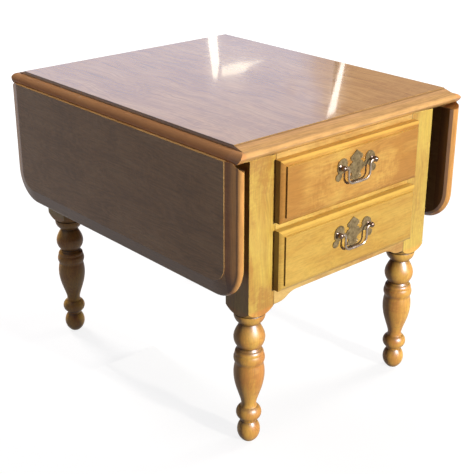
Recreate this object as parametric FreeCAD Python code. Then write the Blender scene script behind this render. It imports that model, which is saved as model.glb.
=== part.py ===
import FreeCAD, Part
import itertools
import math
import os

# Drop-leaf side table with two drawers, turned legs and rule-jointed leaves, sizes in millimetres.
# The origin is on the floor under the middle of the top. +Z is up, and the drawers face -Y.

V = FreeCAD.Vector
UP = V(0, 0, 1)
ALONG_X = V(1, 0, 0)
ALONG_Y = V(0, 1, 0)
SIDES = {"left": -1, "right": 1}
ENDS = {"front": -1, "back": 1}

# Overall sizes
table_height = 556.0
top_thickness = 24.0
top_flat_width = 501.0
top_length = 651.0
side_overhang = 30.5
end_overhang = 27.0
leaf_drop = 234.0
leaf_corner_radius = 60.0
post_side = 56.0

# Rule joint: a step and a quarter round on the top, a cove on the leaf
rule_step = 6.5
rule_radius = 14.0
rule_gap = 1.0

# Thumbnail edge on the ends of the top and round each leaf
edge_step = 1.0
edge_bevel_width = 22.0
edge_bevel_drop = 6.0
edge_nose_radius = 7.0
edge_under_width = 9.5
edge_under_bulge = 0.8

# Case
panel_thickness = 16.0
panel_recess = 4.0
panel_drop = 15.5
tongue_thickness = 8.0
tongue_length = 10.0
tenon_length = 20.0
tenon_thickness = 10.0
tenon_shoulder = 3.0
glue_gap = 0.1
rail_depth = 20.0
divider_depth = 50.0
top_rail_show = 17.0
apron_middle_height = 19.5
apron_end_height = 32.0
apron_end_flat = 10.0
apron_scroll_length = 42.0
apron_scroll_bulge = 1.6
runner_thickness = 15.0
runner_bearing = 15.5
guide_height = 14.0
guide_thickness = 18.0
cleat_thickness = 24.0

# Drawers
drawer_front_height = 105.0
drawer_front_thickness = 19.0
drawer_front_gap = 0.4
drawer_gap = 13.5
lip_overlap = 4.0
lip_side_overlap = 3.0
lip_side_depth = 12.0
lip_moulding_width = 9.5
lip_moulding_rise = 3.5
lip_moulding_bulge = 1.4
box_back_room = 77.0
box_headroom = 8.7
box_side_gap = 2.5
box_wall = 12.0
box_run_gap = 0.3
box_guide_gap = 0.5
box_dado = 7.0
back_dado = 5.0
back_inset = 18.0
back_headroom = 6.0
bottom_thickness = 5.0
bottom_lift = 8.0
bottom_groove = 6.0

# Drawer pulls: shaped plate, two ball-ended posts and a hanging bail
pull_boring = 76.2
pull_above_middle = 15.0
plate_thickness = 1.6
pull_base_radius = 5.0
pull_base_thickness = 2.0
pull_neck_radius = 3.0
pull_ball_radius = 5.0
pull_shank_radius = 2.4
pull_reach = 7.4
nut_flats = 8.0
nut_thickness = 3.0
shank_past_nut = 2.0
bail_wire_radius = 2.1
bail_pin_radius = 1.6
bail_pin_depth = 4.0
bail_ball_gap = 0.4
bail_drop = 30.0
bail_shoulder_bend = 6.5
bail_corner_bend = 11.5
bail_grip_radius = 2.6
bail_grip_end_radius = 1.6
bail_grip_half_length = 14.0
running_gap = 0.05

# Outline of half a pull plate: crest and shield from the centre line, wing from its post.
# A pair is a straight step, and a pair of pairs is an arc (through, to).
plate_crest = [(0.0, 23.0), (14.2, 12.6), ((13.4, 7.4), (9.4, 5.2)), ((10.6, 2.4), (14.2, 1.6))]
plate_wing = [
    ((-18.6, -2.4), (-15.8, 3.0)),
    ((-14.6, 9.6), (-8.2, 14.2)),
    ((3.6, 10.4), (7.4, 1.0)),
    ((6.6, -6.0), (3.2, -10.2)),
    ((10.6, -17.0), (4.4, -23.4)),
    ((-1.4, -20.4), (-3.6, -13.4)),
]
plate_shield = [
    ((26.0, -9.0), (17.4, -12.4)),
    ((12.4, -14.6), (9.8, -19.4)),
    ((13.2, -23.2), (9.4, -27.6)),
    ((4.6, -29.0), (0.0, -33.5)),
]

# Drop-leaf hinges
hinge_inset = 125.5
hinge_width = 40.0
hinge_middle_knuckle = 16.0
hinge_knuckle_radius = 3.0
hinge_pin_radius = 1.5
hinge_plate_thickness = 2.0
hinge_top_length = 30.0
hinge_leaf_length = 62.0
hinge_gap = 0.3
hinge_knuckle_room = 1.2
hinge_mortise_gap = 0.2
hinge_screw_inset = 7.0
hinge_screw_row = 11.0
hinge_screw_spread = 11.0

# Wood screws
screw_head_radius = 3.6
screw_shank_radius = 1.8
screw_length = 15.0
top_screw_length = 38.0
top_screw_from_post = 42.5
top_screw_from_panel = 24.0

# Leaf stays: an arm pivoted on the case side, with a cross stud that meets the raised leaf
stay_standoff = 16.0
stay_pivot_drop = 70.0
stay_length = 130.0
stay_arm_thickness = 5.0
stay_pivot_end_radius = 7.0
stay_tip_end_radius = 4.5
stay_pin_radius = 2.5
stay_pin_head_radius = 4.5
stay_pin_head = 1.5
stay_stud_head_radius = 6.0
stay_stud_head = 4.0
stay_stud_radius = 2.0
stay_base_width = 44.0
stay_base_height = 50.0
stay_base_thickness = 3.0
stay_lug_thickness = 3.0
stay_lug_height = 34.0
stay_lug_gap = 0.4
stay_screw_spread = 16.0
wear_plate_thickness = 1.5
wear_plate_width = 26.0
wear_plate_length = 44.0
wear_plate_reach = 97.0
wear_plate_screw_spread = 14.0

# Turned leg, from the floor up: the radius at the top of each length, and the length.
# The lengths stretch together to end at the pommels' shoulder, which follows the apron.
foot_flat_radius = 9.0
foot_radius = 19.9
ankle_radius, foot_length = 13.4, 39.2
bead_edge_radius, ankle_length = 14.4, 4.3
bead_radius, bead_length = 22.0, 25.6
neck_radius, neck_length = 13.0, 6.4
vase_foot_radius, vase_foot_length = 14.6, 8.0
vase_side_radius, vase_side_length = 22.7, 25.5
vase_radius, vase_length = 26.5, 23.0
vase_top_radius, vase_top_length = 24.3, 21.5
ring_edge_radius, ring_fillet_length = 24.6, 3.0
ring_radius, ring_length = 26.7, 16.0
ring_slope_radius, ring_slope_length = 20.5, 8.5
ring_slope_bulge = 1.5
waist_radius, waist_length = 18.2, 3.5
bulb_low_radius, bulb_low_length = 23.2, 6.0
bulb_radius, bulb_length = 26.8, 14.0
bulb_high_radius, bulb_high_length = 22.8, 13.5
throat_radius, throat_length = 16.4, 11.5
collar_radius, collar_length = 26.6, 15.0
collar_bulge = 1.6
collar_fillet = 2.0
shoulder_length = 6.0
pommel_rise = 12.0
pommel_bulge = 1.0
pommel_below_apron = 1.0

# Places worked out from the sizes above
underside = table_height - top_thickness
hinge_x = top_flat_width / 2
hinge_z = table_height - rule_step - rule_radius
hinge_y = top_length / 2 - hinge_inset
hinge_places = (-hinge_y, hinge_y)
leaf_outer_x = hinge_x + rule_radius + rule_step
leaf_inner_x = leaf_outer_x - top_thickness
leaf_bottom = hinge_z - leaf_drop
edge_width = edge_bevel_width + edge_nose_radius
nose_depth = edge_step + edge_bevel_drop + edge_nose_radius
half_width = top_flat_width / 2 - side_overhang
half_depth = top_length / 2 - end_overhang
post_inner_x = half_width - post_side
post_inner_y = half_depth - post_side
side_outer_x = half_width - panel_recess
side_inner_x = side_outer_x - panel_thickness
back_outer_y = half_depth - panel_recess
back_inner_y = back_outer_y - panel_thickness
upper_drawer_bottom = underside - top_rail_show - drawer_front_height
DRAWERS = {"upper": upper_drawer_bottom, "lower": upper_drawer_bottom - drawer_gap - drawer_front_height}
drawer_front_width = 2 * (post_inner_x + lip_side_overlap)
box_half_width = post_inner_x - box_side_gap
box_depth = 2 * half_depth - box_back_room
box_height = drawer_front_height - 2 * lip_overlap - box_run_gap - box_headroom
runner_inner_edge = box_half_width - runner_bearing
front_back_y = -half_depth - drawer_front_gap
front_face_y = front_back_y - drawer_front_thickness
pull_face_y = front_face_y - plate_thickness
bail_axis_y = pull_face_y - pull_reach
stay_pivot_x = side_outer_x + stay_standoff
stay_pivot_z = hinge_z - stay_pivot_drop


def opening_bottom(drawer):
    return DRAWERS[drawer] + lip_overlap


def opening_top(drawer):
    return DRAWERS[drawer] + drawer_front_height - lip_overlap


# Heights that follow the lower drawer
panel_bottom = opening_bottom("lower") - panel_drop
apron_end_z = opening_bottom("lower") - apron_end_height
pommel_corner_z = apron_end_z - pommel_below_apron
shoulder_z = pommel_corner_z - pommel_rise

# Lower edge, upper edge and depth of each rail across the front
FRONT_RAILS = {
    "top_front_rail": (opening_top("upper"), underside, rail_depth),
    "drawer_divider_rail": (opening_top("lower"), opening_bottom("upper"), divider_depth),
    "front_apron": (opening_bottom("lower") - apron_middle_height, opening_bottom("lower"), rail_depth),
}


# Shared shapes

def block(x, y, z):
    """Box between two limits on each axis, given in either order."""
    limits = (x, y, z)
    low = [min(pair) for pair in limits]
    size = [abs(pair[1] - pair[0]) for pair in limits]
    return Part.makeBox(size[0], size[1], size[2], V(*low))


def rod(start, direction, radius, length):
    return Part.makeCylinder(radius, length, start, direction)


def joined(shapes):
    """One solid from solids that touch or overlap, without the seams between them."""
    return shapes[0].multiFuse(shapes[1:]).removeSplitter().Solids[0]


def both_halves(half):
    """One solid from a half that meets its mirror image at the centre plane across X."""
    return joined([half, half.mirror(V(0, 0, 0), ALONG_X)])


def outline_face(steps, place):
    """Flat face in a closed outline.

    A pair is a straight step, a pair of pairs an arc (through, to), and a list a smooth curve through pairs.
    """
    edges = []
    here = steps[0]
    for step in steps[1:] + steps[:1]:
        if isinstance(step, list):
            curve = Part.BSplineCurve()
            curve.interpolate([place(*point) for point in [here] + step])
            edges.append(curve.toShape())
            here = step[-1]
        elif isinstance(step[0], tuple):
            through, goal = step
            edges.append(Part.Arc(place(*here), place(*through), place(*goal)).toShape())
            here = goal
        else:
            edges.append(Part.makeLine(place(*here), place(*step)))
            here = step
    return Part.Face(Part.Wire(edges))


def quarter(centre, start, end):
    """Arc step from start to end round a centre, where the two lie a right angle apart."""
    across = (start[0] + end[0] - 2 * centre[0], start[1] + end[1] - 2 * centre[1])
    middle = (centre[0] + across[0] * math.sqrt(0.5), centre[1] + across[1] * math.sqrt(0.5))
    return (middle, end)


def bulged(start, end, bulge):
    """Arc step from start to end that swells to the left of the straight line by a bulge."""
    run = (end[0] - start[0], end[1] - start[1])
    length = math.hypot(*run)
    middle = ((start[0] + end[0]) / 2 - run[1] / length * bulge,
              (start[1] + end[1]) / 2 + run[0] / length * bulge)
    return (middle, end)


def shifted(steps, across):
    """The same arc and line steps, moved across."""
    moved = []
    for step in steps:
        if isinstance(step[0], tuple):
            moved.append(tuple((x + across, y) for x, y in step))
        else:
            moved.append((step[0] + across, step[1]))
    return moved


def turned(steps, place=V(0, 0, 0), axis=UP):
    """Solid of revolution from an outline in radius and height, set along an axis at a place."""
    solid = outline_face(steps, lambda r, h: V(r, 0, h)).revolve(V(0, 0, 0), UP, 360)
    solid.Placement = FreeCAD.Placement(place, FreeCAD.Rotation(UP, axis))
    return solid


def wood_screw(place, axis, length):
    """Countersunk wood screw with its head flush at a place, pointing along an axis."""
    return turned([
        (0, 0),
        (screw_head_radius, 0),
        (screw_shank_radius, screw_head_radius - screw_shank_radius),
        (screw_shank_radius, length - screw_shank_radius),
        (0, length),
    ], place, axis)


def screw_hole(place, axis, length):
    """Countersunk hole for a wood screw, with the glue gap all round it."""
    head = screw_head_radius + glue_gap
    shank = screw_shank_radius + glue_gap
    return turned([
        (0, -glue_gap),
        (head, -glue_gap),
        (head, glue_gap),
        (shank, screw_head_radius - screw_shank_radius + glue_gap),
        (shank, length + glue_gap),
        (0, length + glue_gap),
    ], place, axis)


def screws(places, axis, length):
    return Part.makeCompound([wood_screw(place, axis, length) for place in places])


# Table top and leaves

def edge_section(width, place):
    """Section of a board's thumbnail edge, from the nose inwards to a width and down through the board."""
    nose_start = (edge_nose_radius, nose_depth - edge_nose_radius)
    nose_end = (0, nose_depth)
    return outline_face([
        (width, 0),
        (edge_width, 0),
        (edge_width, edge_step),
        nose_start,
        quarter((edge_nose_radius, nose_depth), nose_start, nose_end),
        bulged(nose_end, (edge_under_width, top_thickness), edge_under_bulge),
        (width, top_thickness),
    ], place)


def rule_round_x(height):
    """How far out the top's rule-joint round lies at a height."""
    return hinge_x + math.sqrt(rule_radius ** 2 - (height - hinge_z) ** 2)


def half_top_section():
    """Section from the middle of the top to one side: flat, then a step and a round over the hinge pin."""
    slant = hinge_z + rule_radius / 2
    below = (hinge_z + underside) / 2
    return outline_face([
        (0, table_height),
        (hinge_x, table_height),
        (hinge_x, hinge_z + rule_radius),
        ((rule_round_x(slant), slant), (hinge_x + rule_radius, hinge_z)),
        ((rule_round_x(below), below), (rule_round_x(underside), underside)),
        (0, underside),
    ], lambda x, z: V(x, -top_length / 2, z))


def hinge_pockets(side, y):
    """Room under the top for one hinge: its plate, its knuckle and the swing of its leaf plate."""
    half = hinge_width / 2 + hinge_mortise_gap
    span = (y - half, y + half)
    room = hinge_knuckle_radius + hinge_knuckle_room
    inner = hinge_x - hinge_top_length - hinge_mortise_gap
    plate_top = underside + hinge_plate_thickness
    return [
        block((side * inner, side * hinge_x), span, (underside, plate_top + glue_gap)),
        block((side * (hinge_x - room), side * (hinge_x + room)), span, (underside, hinge_z + room)),
        block((side * hinge_x, side * leaf_outer_x), span, (underside, plate_top + hinge_gap)),
    ]


def table_top():
    ends = []
    for end in ENDS.values():
        section = edge_section(
            top_length / 2,
            lambda inwards, down: V(-leaf_outer_x, end * (top_length / 2 - inwards), table_height - down))
        ends.append(section.extrude(ALONG_X * 2 * leaf_outer_x))
    board = joined(ends).common(both_halves(half_top_section().extrude(ALONG_Y * top_length)))
    cuts = [screw_hole(p, UP, top_screw_length) for p in top_screw_heads()]
    for side in SIDES.values():
        cuts += [screw_hole(p, UP, screw_length) for p in hinge_top_screws(side)]
        for y in hinge_places:
            cuts += hinge_pockets(side, y)
    return board.cut(cuts)


def leaf_board(side):
    """Hanging leaf with a thumbnail edge on three sides and rounded lower corners, before it is fitted."""
    corner = leaf_corner_radius
    straight = top_length / 2 - corner
    leaf_top = hinge_z - rule_gap

    def low_edge(y):
        return edge_section(
            corner, lambda inwards, down: V(side * (leaf_outer_x - down), y, leaf_bottom + inwards))

    pieces = [
        low_edge(-straight).extrude(ALONG_Y * 2 * straight),
        block((side * leaf_inner_x, side * leaf_outer_x), (-straight, straight),
              (leaf_bottom + corner, leaf_top)),
    ]
    for end in ENDS.values():
        axis_point = V(0, end * straight, leaf_bottom + corner)
        pieces.append(low_edge(end * straight).revolve(axis_point, ALONG_X, end * 90))
        upright = edge_section(corner, lambda inwards, down: V(
            side * (leaf_outer_x - down), end * (top_length / 2 - inwards), leaf_bottom + corner))
        pieces.append(upright.extrude(UP * (leaf_top - leaf_bottom - corner)))
    return joined(pieces)


def leaf(side):
    """Leaf with the cove of the rule joint and the mortises for its hinges and wear plate."""
    cove_radius = rule_radius + rule_gap
    whole = (-top_length / 2, top_length / 2)
    cuts = [
        rod(V(side * hinge_x, whole[0], hinge_z), ALONG_Y, cove_radius, top_length),
        block((side * leaf_inner_x, side * hinge_x), whole, (hinge_z - cove_radius, hinge_z)),
        wear_plate_blank(side, glue_gap),
    ]
    half = hinge_width / 2 + hinge_mortise_gap
    mortise_floor = leaf_inner_x + hinge_plate_thickness + glue_gap
    for y in hinge_places:
        cuts.append(block((side * leaf_inner_x, side * mortise_floor), (y - half, y + half),
                          (hinge_z - hinge_leaf_length - hinge_mortise_gap, hinge_z)))
    cuts += [screw_hole(p, ALONG_X * side, screw_length) for p in leaf_screw_heads(side)]
    return leaf_board(side).cut(cuts)


# Hinges

def hinge_knuckle(side, y_from, y_to):
    """A knuckle and its bore on one leaf's hinge line."""
    start = V(side * hinge_x, y_from, hinge_z)
    return (rod(start, ALONG_Y, hinge_knuckle_radius, y_to - y_from),
            rod(start, ALONG_Y, hinge_pin_radius + running_gap, y_to - y_from))


def hinge_top_plate(side, y):
    """Plate let into the underside of the top, with the middle knuckle."""
    middle = hinge_middle_knuckle / 2
    half = hinge_width / 2
    start = hinge_x - hinge_knuckle_radius - hinge_knuckle_room
    layer = (underside, underside + hinge_plate_thickness)
    knuckle, bore = hinge_knuckle(side, y - middle, y + middle)
    plate = joined([
        block((side * (hinge_x - hinge_top_length), side * start), (y - half, y + half), layer),
        block((side * start, side * hinge_x), (y - middle, y + middle), layer),
        knuckle,
    ])
    return plate.cut([bore] + [screw_hole(p, UP, screw_length) for p in hinge_top_screws(side)])


def hinge_leaf_plate(side, y):
    """Longer plate let into the inner face of the hanging leaf, with the two outer knuckles."""
    start = hinge_z - hinge_knuckle_radius - hinge_knuckle_room
    layer = (side * leaf_inner_x, side * (leaf_inner_x + hinge_plate_thickness))
    half = hinge_width / 2
    inner = hinge_middle_knuckle / 2 + hinge_gap
    shapes = [block(layer, (y - half, y + half), (hinge_z - hinge_leaf_length, start))]
    cuts = [screw_hole(p, ALONG_X * side, screw_length) for p in hinge_leaf_screws(side)]
    for span in ((y - half, y - inner), (y + inner, y + half)):
        knuckle, bore = hinge_knuckle(side, *span)
        shapes += [knuckle, block(layer, span, (start, hinge_z))]
        cuts.append(bore)
    return joined(shapes).cut(cuts)


def hinge_pin(side, y):
    return rod(V(side * hinge_x, y - hinge_width / 2, hinge_z), ALONG_Y, hinge_pin_radius, hinge_width)


def hinge_screw_spots(length):
    """Three screws of a hinge plate: distance from the pin and place along the pin."""
    far = length - hinge_screw_inset
    near = far - hinge_screw_row
    return ((near, -hinge_screw_spread), (near, hinge_screw_spread), (far, 0))


def hinge_top_screws(side):
    return [V(side * (hinge_x - out), y + along, underside)
            for y in hinge_places for out, along in hinge_screw_spots(hinge_top_length)]


def hinge_leaf_screws(side):
    return [V(side * leaf_inner_x, y + along, hinge_z - down)
            for y in hinge_places for down, along in hinge_screw_spots(hinge_leaf_length)]


def wear_plate_screws(side):
    middle = hinge_z - wear_plate_reach
    return [V(side * leaf_inner_x, 0, middle + end * wear_plate_screw_spread) for end in (-1, 1)]


def leaf_screw_heads(side):
    return hinge_leaf_screws(side) + wear_plate_screws(side)


def top_screw_heads():
    """Head centres of the screws that go up through the cleats into the top."""
    x = side_inner_x - top_screw_from_panel
    far = post_inner_y - top_screw_from_post
    return [V(side * x, y, underside - cleat_thickness) for side in SIDES.values() for y in (-far, 0, far)]


# Leaf stays

def stay_bracket(side):
    """Base plate on the case side with two lugs that hold the arm's pin."""
    base_face = side_outer_x + stay_base_thickness
    shapes = [block((side * side_outer_x, side * base_face), (-stay_base_width / 2, stay_base_width / 2),
                    (stay_pivot_z - stay_base_height / 2, stay_pivot_z + stay_base_height / 2))]
    for end in ENDS.values():
        inner = end * (stay_arm_thickness / 2 + stay_lug_gap)
        lug = outline_face([
            (base_face, -stay_lug_height / 2),
            (stay_pivot_x, -stay_pivot_end_radius),
            ((stay_pivot_x + stay_pivot_end_radius, 0), (stay_pivot_x, stay_pivot_end_radius)),
            (base_face, stay_lug_height / 2),
        ], lambda x, z: V(side * x, inner, stay_pivot_z + z))
        shapes.append(lug.extrude(ALONG_Y * end * stay_lug_thickness))
    reach = stay_arm_thickness / 2 + stay_lug_gap + stay_lug_thickness
    cuts = [rod(V(side * stay_pivot_x, -reach, stay_pivot_z), ALONG_Y,
                stay_pin_radius + running_gap, 2 * reach)]
    cuts += [screw_hole(p, ALONG_X * -side, screw_length) for p in stay_bracket_screws(side)]
    return joined(shapes).cut(cuts)


def stay_bracket_screws(side):
    x = side * (side_outer_x + stay_base_thickness)
    return [V(x, across * stay_screw_spread, stay_pivot_z + rise * stay_screw_spread)
            for across in (-1, 1) for rise in (-1, 1)]


def spool(place, half_grip, grip_radius, half_length, end_radius):
    """Pin along Y with a larger disc at each end."""
    return turned([
        (0, -half_length),
        (end_radius, -half_length),
        (end_radius, -half_grip),
        (grip_radius, -half_grip),
        (grip_radius, half_grip),
        (end_radius, half_grip),
        (end_radius, half_length),
        (0, half_length),
    ], place, ALONG_Y)


def stay_pin(side):
    """Riveted pin through the bracket's lugs and the arm."""
    half_grip = stay_arm_thickness / 2 + stay_lug_gap + stay_lug_thickness
    return spool(V(side * stay_pivot_x, 0, stay_pivot_z), half_grip, stay_pin_radius,
                 half_grip + stay_pin_head, stay_pin_head_radius)


def stay_stud(side):
    """Cross stud riveted through the arm's tip, whose round heads carry the raised leaf."""
    half_grip = stay_arm_thickness / 2 + running_gap
    return spool(V(side * stay_pivot_x, 0, stay_pivot_z - stay_length), half_grip, stay_stud_radius,
                 half_grip + stay_stud_head, stay_stud_head_radius)


def stay_arm(side):
    """Flat tapered bar hanging from its pivot, with a hole at each end."""
    tip = -stay_length
    bar = outline_face([
        (-stay_pivot_end_radius, 0),
        ((0, stay_pivot_end_radius), (stay_pivot_end_radius, 0)),
        (stay_tip_end_radius, tip),
        ((0, tip - stay_tip_end_radius), (-stay_tip_end_radius, tip)),
    ], lambda x, z: V(side * stay_pivot_x + x, -stay_arm_thickness / 2, stay_pivot_z + z))
    start = V(side * stay_pivot_x, -stay_arm_thickness / 2, stay_pivot_z)
    pivot_hole = rod(start, ALONG_Y, stay_pin_radius + running_gap, stay_arm_thickness)
    stud_hole = rod(start + UP * tip, ALONG_Y, stay_stud_radius + running_gap, stay_arm_thickness)
    return bar.extrude(ALONG_Y * stay_arm_thickness).cut([pivot_hole, stud_hole])


def wear_plate_blank(side, room):
    """Strip let flush into the leaf where the stud lands, larger all round by some room."""
    middle = hinge_z - wear_plate_reach
    half_length = wear_plate_length / 2 + room
    half_across = wear_plate_width / 2 + room
    return block((side * leaf_inner_x, side * (leaf_inner_x + wear_plate_thickness + room)),
                 (-half_across, half_across), (middle - half_length, middle + half_length))


def wear_plate(side):
    holes = [screw_hole(p, ALONG_X * side, screw_length) for p in wear_plate_screws(side)]
    return wear_plate_blank(side, 0).cut(holes)


# Legs and case

def stacked(lengths, total):
    """Heights of the tops of lengths stacked on the floor, stretched to fill a total."""
    return [total * height / sum(lengths) for height in itertools.accumulate(lengths)]


def leg_blank():
    """Leg on the Z axis: a turned profile cut to the square post, which leaves pommels at its shoulder."""
    (ankle_z, bead_low, bead_high, neck_z, vase_foot_z, vase_side_z, vase_z, vase_top_z, ring_low, ring_high,
     ring_top, waist_z, bulb_low_z, bulb_z, bulb_high_z, throat_z, collar_z, _) = stacked([
         foot_length, ankle_length, bead_length, neck_length, vase_foot_length, vase_side_length,
         vase_length, vase_top_length, ring_fillet_length, ring_length, ring_slope_length, waist_length,
         bulb_low_length, bulb_length, bulb_high_length, throat_length, collar_length, shoulder_length,
     ], shoulder_z)
    ring_end = (ring_edge_radius, ring_high)
    collar_start = (throat_radius + collar_fillet, throat_z + collar_fillet)
    shoulder = (collar_radius, shoulder_z)
    corner_radius = post_side * math.sqrt(0.5)
    profile = [
        (0, 0),
        (foot_flat_radius, 0),
        ((foot_radius, ankle_z / 2), (ankle_radius, ankle_z)),
        (bead_edge_radius, bead_low),
        ((bead_radius, (bead_low + bead_high) / 2), (bead_edge_radius, bead_high)),
        [(neck_radius, neck_z), (vase_foot_radius, vase_foot_z), (vase_side_radius, vase_side_z),
         (vase_radius, vase_z), (vase_top_radius, vase_top_z)],
        (ring_edge_radius, ring_low),
        ((ring_radius, (ring_low + ring_high) / 2), ring_end),
        bulged(ring_end, (ring_slope_radius, ring_top), -ring_slope_bulge),
        (waist_radius, waist_z),
        [(bulb_low_radius, bulb_low_z), (bulb_radius, bulb_z),
         (bulb_high_radius, bulb_high_z), (throat_radius, throat_z)],
        collar_start,
        bulged(collar_start, (collar_radius, collar_z), -collar_bulge),
        (collar_radius, shoulder_z - collar_fillet),
        (collar_radius - collar_fillet, shoulder_z),
        shoulder,
        bulged(shoulder, (corner_radius, pommel_corner_z), -pommel_bulge),
        (corner_radius, underside),
        (0, underside),
    ]
    half = post_side / 2
    return turned(profile).common(block((-half, half), (-half, half), (0, underside)))


def leg(side, end):
    """One leg in its corner, mortised for what joins it there."""
    post = leg_blank()
    post.translate(V(side * (half_width - post_side / 2), end * (half_depth - post_side / 2), 0))
    mortises = [side_panel_tongue(side, end, glue_gap)]
    if end == ENDS["front"]:
        mortises += [tenon(side, rail, glue_gap) for rail in FRONT_RAILS]
    else:
        mortises.append(back_panel_tongue(side, glue_gap))
    return post.cut(mortises)


def side_panel_tongue(side, end, room):
    """Tongue along an upright edge of a side panel, larger all round by some room."""
    middle = side_outer_x - panel_thickness / 2
    half = tongue_thickness / 2 + room
    return block((side * (middle - half), side * (middle + half)),
                 (end * post_inner_y, end * (post_inner_y + tongue_length + room)),
                 (panel_bottom - room, underside))


def back_panel_tongue(side, room):
    middle = back_outer_y - panel_thickness / 2
    half = tongue_thickness / 2 + room
    return block((side * post_inner_x, side * (post_inner_x + tongue_length + room)),
                 (middle - half, middle + half), (panel_bottom - room, underside))


def side_panel(side):
    board = block((side * side_inner_x, side * side_outer_x), (-post_inner_y, post_inner_y),
                  (panel_bottom, underside))
    panel = joined([board] + [side_panel_tongue(side, end, 0) for end in ENDS.values()])
    return panel.cut([screw_hole(p, ALONG_X * -side, screw_length) for p in stay_bracket_screws(side)])


def back_panel():
    board = block((-post_inner_x, post_inner_x), (back_inner_y, back_outer_y), (panel_bottom, underside))
    return joined([board] + [back_panel_tongue(side, 0) for side in SIDES.values()])


def tenon(side, rail, room):
    """Tenon on one end of a front rail, larger all round by some room."""
    low, high, depth = FRONT_RAILS[rail]
    cheek = (rail_depth - tenon_thickness) / 2
    return block((side * post_inner_x, side * (post_inner_x + tenon_length + room)),
                 (-half_depth + cheek - room, -half_depth + depth - cheek + room),
                 (low + tenon_shoulder - room, high - tenon_shoulder + room))


def straight_rail(rail):
    low, high, depth = FRONT_RAILS[rail]
    bar = block((-post_inner_x, post_inner_x), (-half_depth, -half_depth + depth), (low, high))
    return joined([bar] + [tenon(side, rail, 0) for side in SIDES.values()])


def front_apron():
    """Lowest rail, whose edge drops in an ogee to meet the shoulder of each leg."""
    top = opening_bottom("lower")
    end = (post_inner_x - apron_end_flat, apron_end_z)
    start = (end[0] - apron_scroll_length, top - apron_middle_height)
    turn = ((start[0] + end[0]) / 2, (start[1] + end[1]) / 2)
    half = outline_face([
        (0, top),
        (0, start[1]),
        start,
        bulged(start, turn, apron_scroll_bulge),
        bulged(turn, end, -apron_scroll_bulge),
        (post_inner_x, end[1]),
        (post_inner_x, top),
    ], lambda x, z: V(x, -half_depth, z)).extrude(ALONG_Y * rail_depth)
    return joined([both_halves(half)] + [tenon(side, "front_apron", 0) for side in SIDES.values()])


def drawer_runners(drawer):
    """Pair of runners level with an opening's lower edge, each with a guide beside the drawer."""
    top = opening_bottom(drawer)
    rail = "front_apron" if drawer == "lower" else "drawer_divider_rail"
    rail_back = -half_depth + FRONT_RAILS[rail][2]
    layer = (top - runner_thickness, top)
    guide_face = box_half_width + box_guide_gap
    between_posts = (-post_inner_y, post_inner_y)
    runners = []
    for side in SIDES.values():
        runners.append(joined([
            block((side * runner_inner_edge, side * post_inner_x), (rail_back, back_inner_y), layer),
            block((side * post_inner_x, side * side_inner_x), between_posts, layer),
            block((side * guide_face, side * (guide_face + guide_thickness)), between_posts,
                  (top, top + guide_height)),
        ]))
    return Part.makeCompound(runners)


def top_cleats():
    """Strips along the case sides that the top is screwed to, and that keep the upper drawer level."""
    layer = (underside - cleat_thickness, underside)
    holes = [screw_hole(p, UP, top_screw_length) for p in top_screw_heads()]
    cleats = []
    for side in SIDES.values():
        strip = block((side * runner_inner_edge, side * side_inner_x), (-post_inner_y, post_inner_y), layer)
        cleats.append(strip.cut(holes))
    return Part.makeCompound(cleats)


# Drawers

def lip_section(width, place):
    """Section across a lipped drawer front: an ovolo at each edge and a step up to the flat field."""
    half = width / 2
    field = half - lip_moulding_width
    shoulder = lip_side_depth + lip_moulding_rise
    return outline_face([
        (-half, 0),
        (half, 0),
        (half, lip_side_depth),
        bulged((half, lip_side_depth), (field, shoulder), -lip_moulding_bulge),
        (field, drawer_front_thickness),
        (-field, drawer_front_thickness),
        (-field, shoulder),
        bulged((-field, shoulder), (-half, lip_side_depth), -lip_moulding_bulge),
    ], place)


def box_levels(drawer):
    """Heights of a drawer box: lower edge of its sides, floor, top of the floor and top of its sides."""
    low = opening_bottom(drawer) + box_run_gap
    floor = low + bottom_lift
    return low, floor, floor + bottom_thickness, low + box_height


def drawer_front(drawer):
    """Overlay front moulded on all four edges, with grooves for the box and holes for the pull."""
    low = DRAWERS[drawer]
    middle = low + drawer_front_height / 2
    across = lip_section(drawer_front_width, lambda x, out: V(x, front_back_y - out, low))
    upright = lip_section(drawer_front_height,
                          lambda z, out: V(-drawer_front_width / 2, front_back_y - out, middle + z))
    front = across.extrude(UP * drawer_front_height).common(upright.extrude(ALONG_X * drawer_front_width))
    cuts = [drawer_side_blank(side, drawer, glue_gap) for side in SIDES.values()]
    cuts.append(drawer_bottom_blank(drawer, glue_gap))
    cuts += pull_holes(drawer, front_back_y, drawer_front_thickness)
    return front.cut(cuts)


def drawer_side_blank(side, drawer, room):
    """Side board of a drawer box from its groove in the front to the back end."""
    low, _, _, high = box_levels(drawer)
    return block((side * (box_half_width - box_wall - room), side * (box_half_width + room)),
                 (front_back_y - box_dado - room, front_back_y + box_depth), (low - room, high + room))


def drawer_bottom_blank(drawer, room):
    """Thin floor let into grooves in the front and the sides, and nailed up under the back."""
    _, floor, floor_top, _ = box_levels(drawer)
    half = box_half_width - box_wall + bottom_groove + room
    return block((-half, half),
                 (front_back_y - bottom_groove - room, front_back_y + box_depth - back_inset + room),
                 (floor - room, floor_top + room))


def drawer_back_blank(drawer, room):
    """Back board let into the sides, standing on the floor."""
    _, _, floor_top, high = box_levels(drawer)
    half = box_half_width - box_wall + back_dado + room
    rear = front_back_y + box_depth - back_inset
    return block((-half, half), (rear - box_wall - room, rear + room),
                 (floor_top, high - back_headroom + room))


def drawer_side(side, drawer):
    grooves = [drawer_bottom_blank(drawer, glue_gap), drawer_back_blank(drawer, glue_gap)]
    return drawer_side_blank(side, drawer, 0).cut(grooves)


# Pulls

def pull_posts_at(drawer, y):
    """Centres of a drawer's two pull posts, at a place along Y."""
    height = DRAWERS[drawer] + drawer_front_height / 2 + pull_above_middle
    return [V(side * pull_boring / 2, y, height) for side in SIDES.values()]


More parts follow.
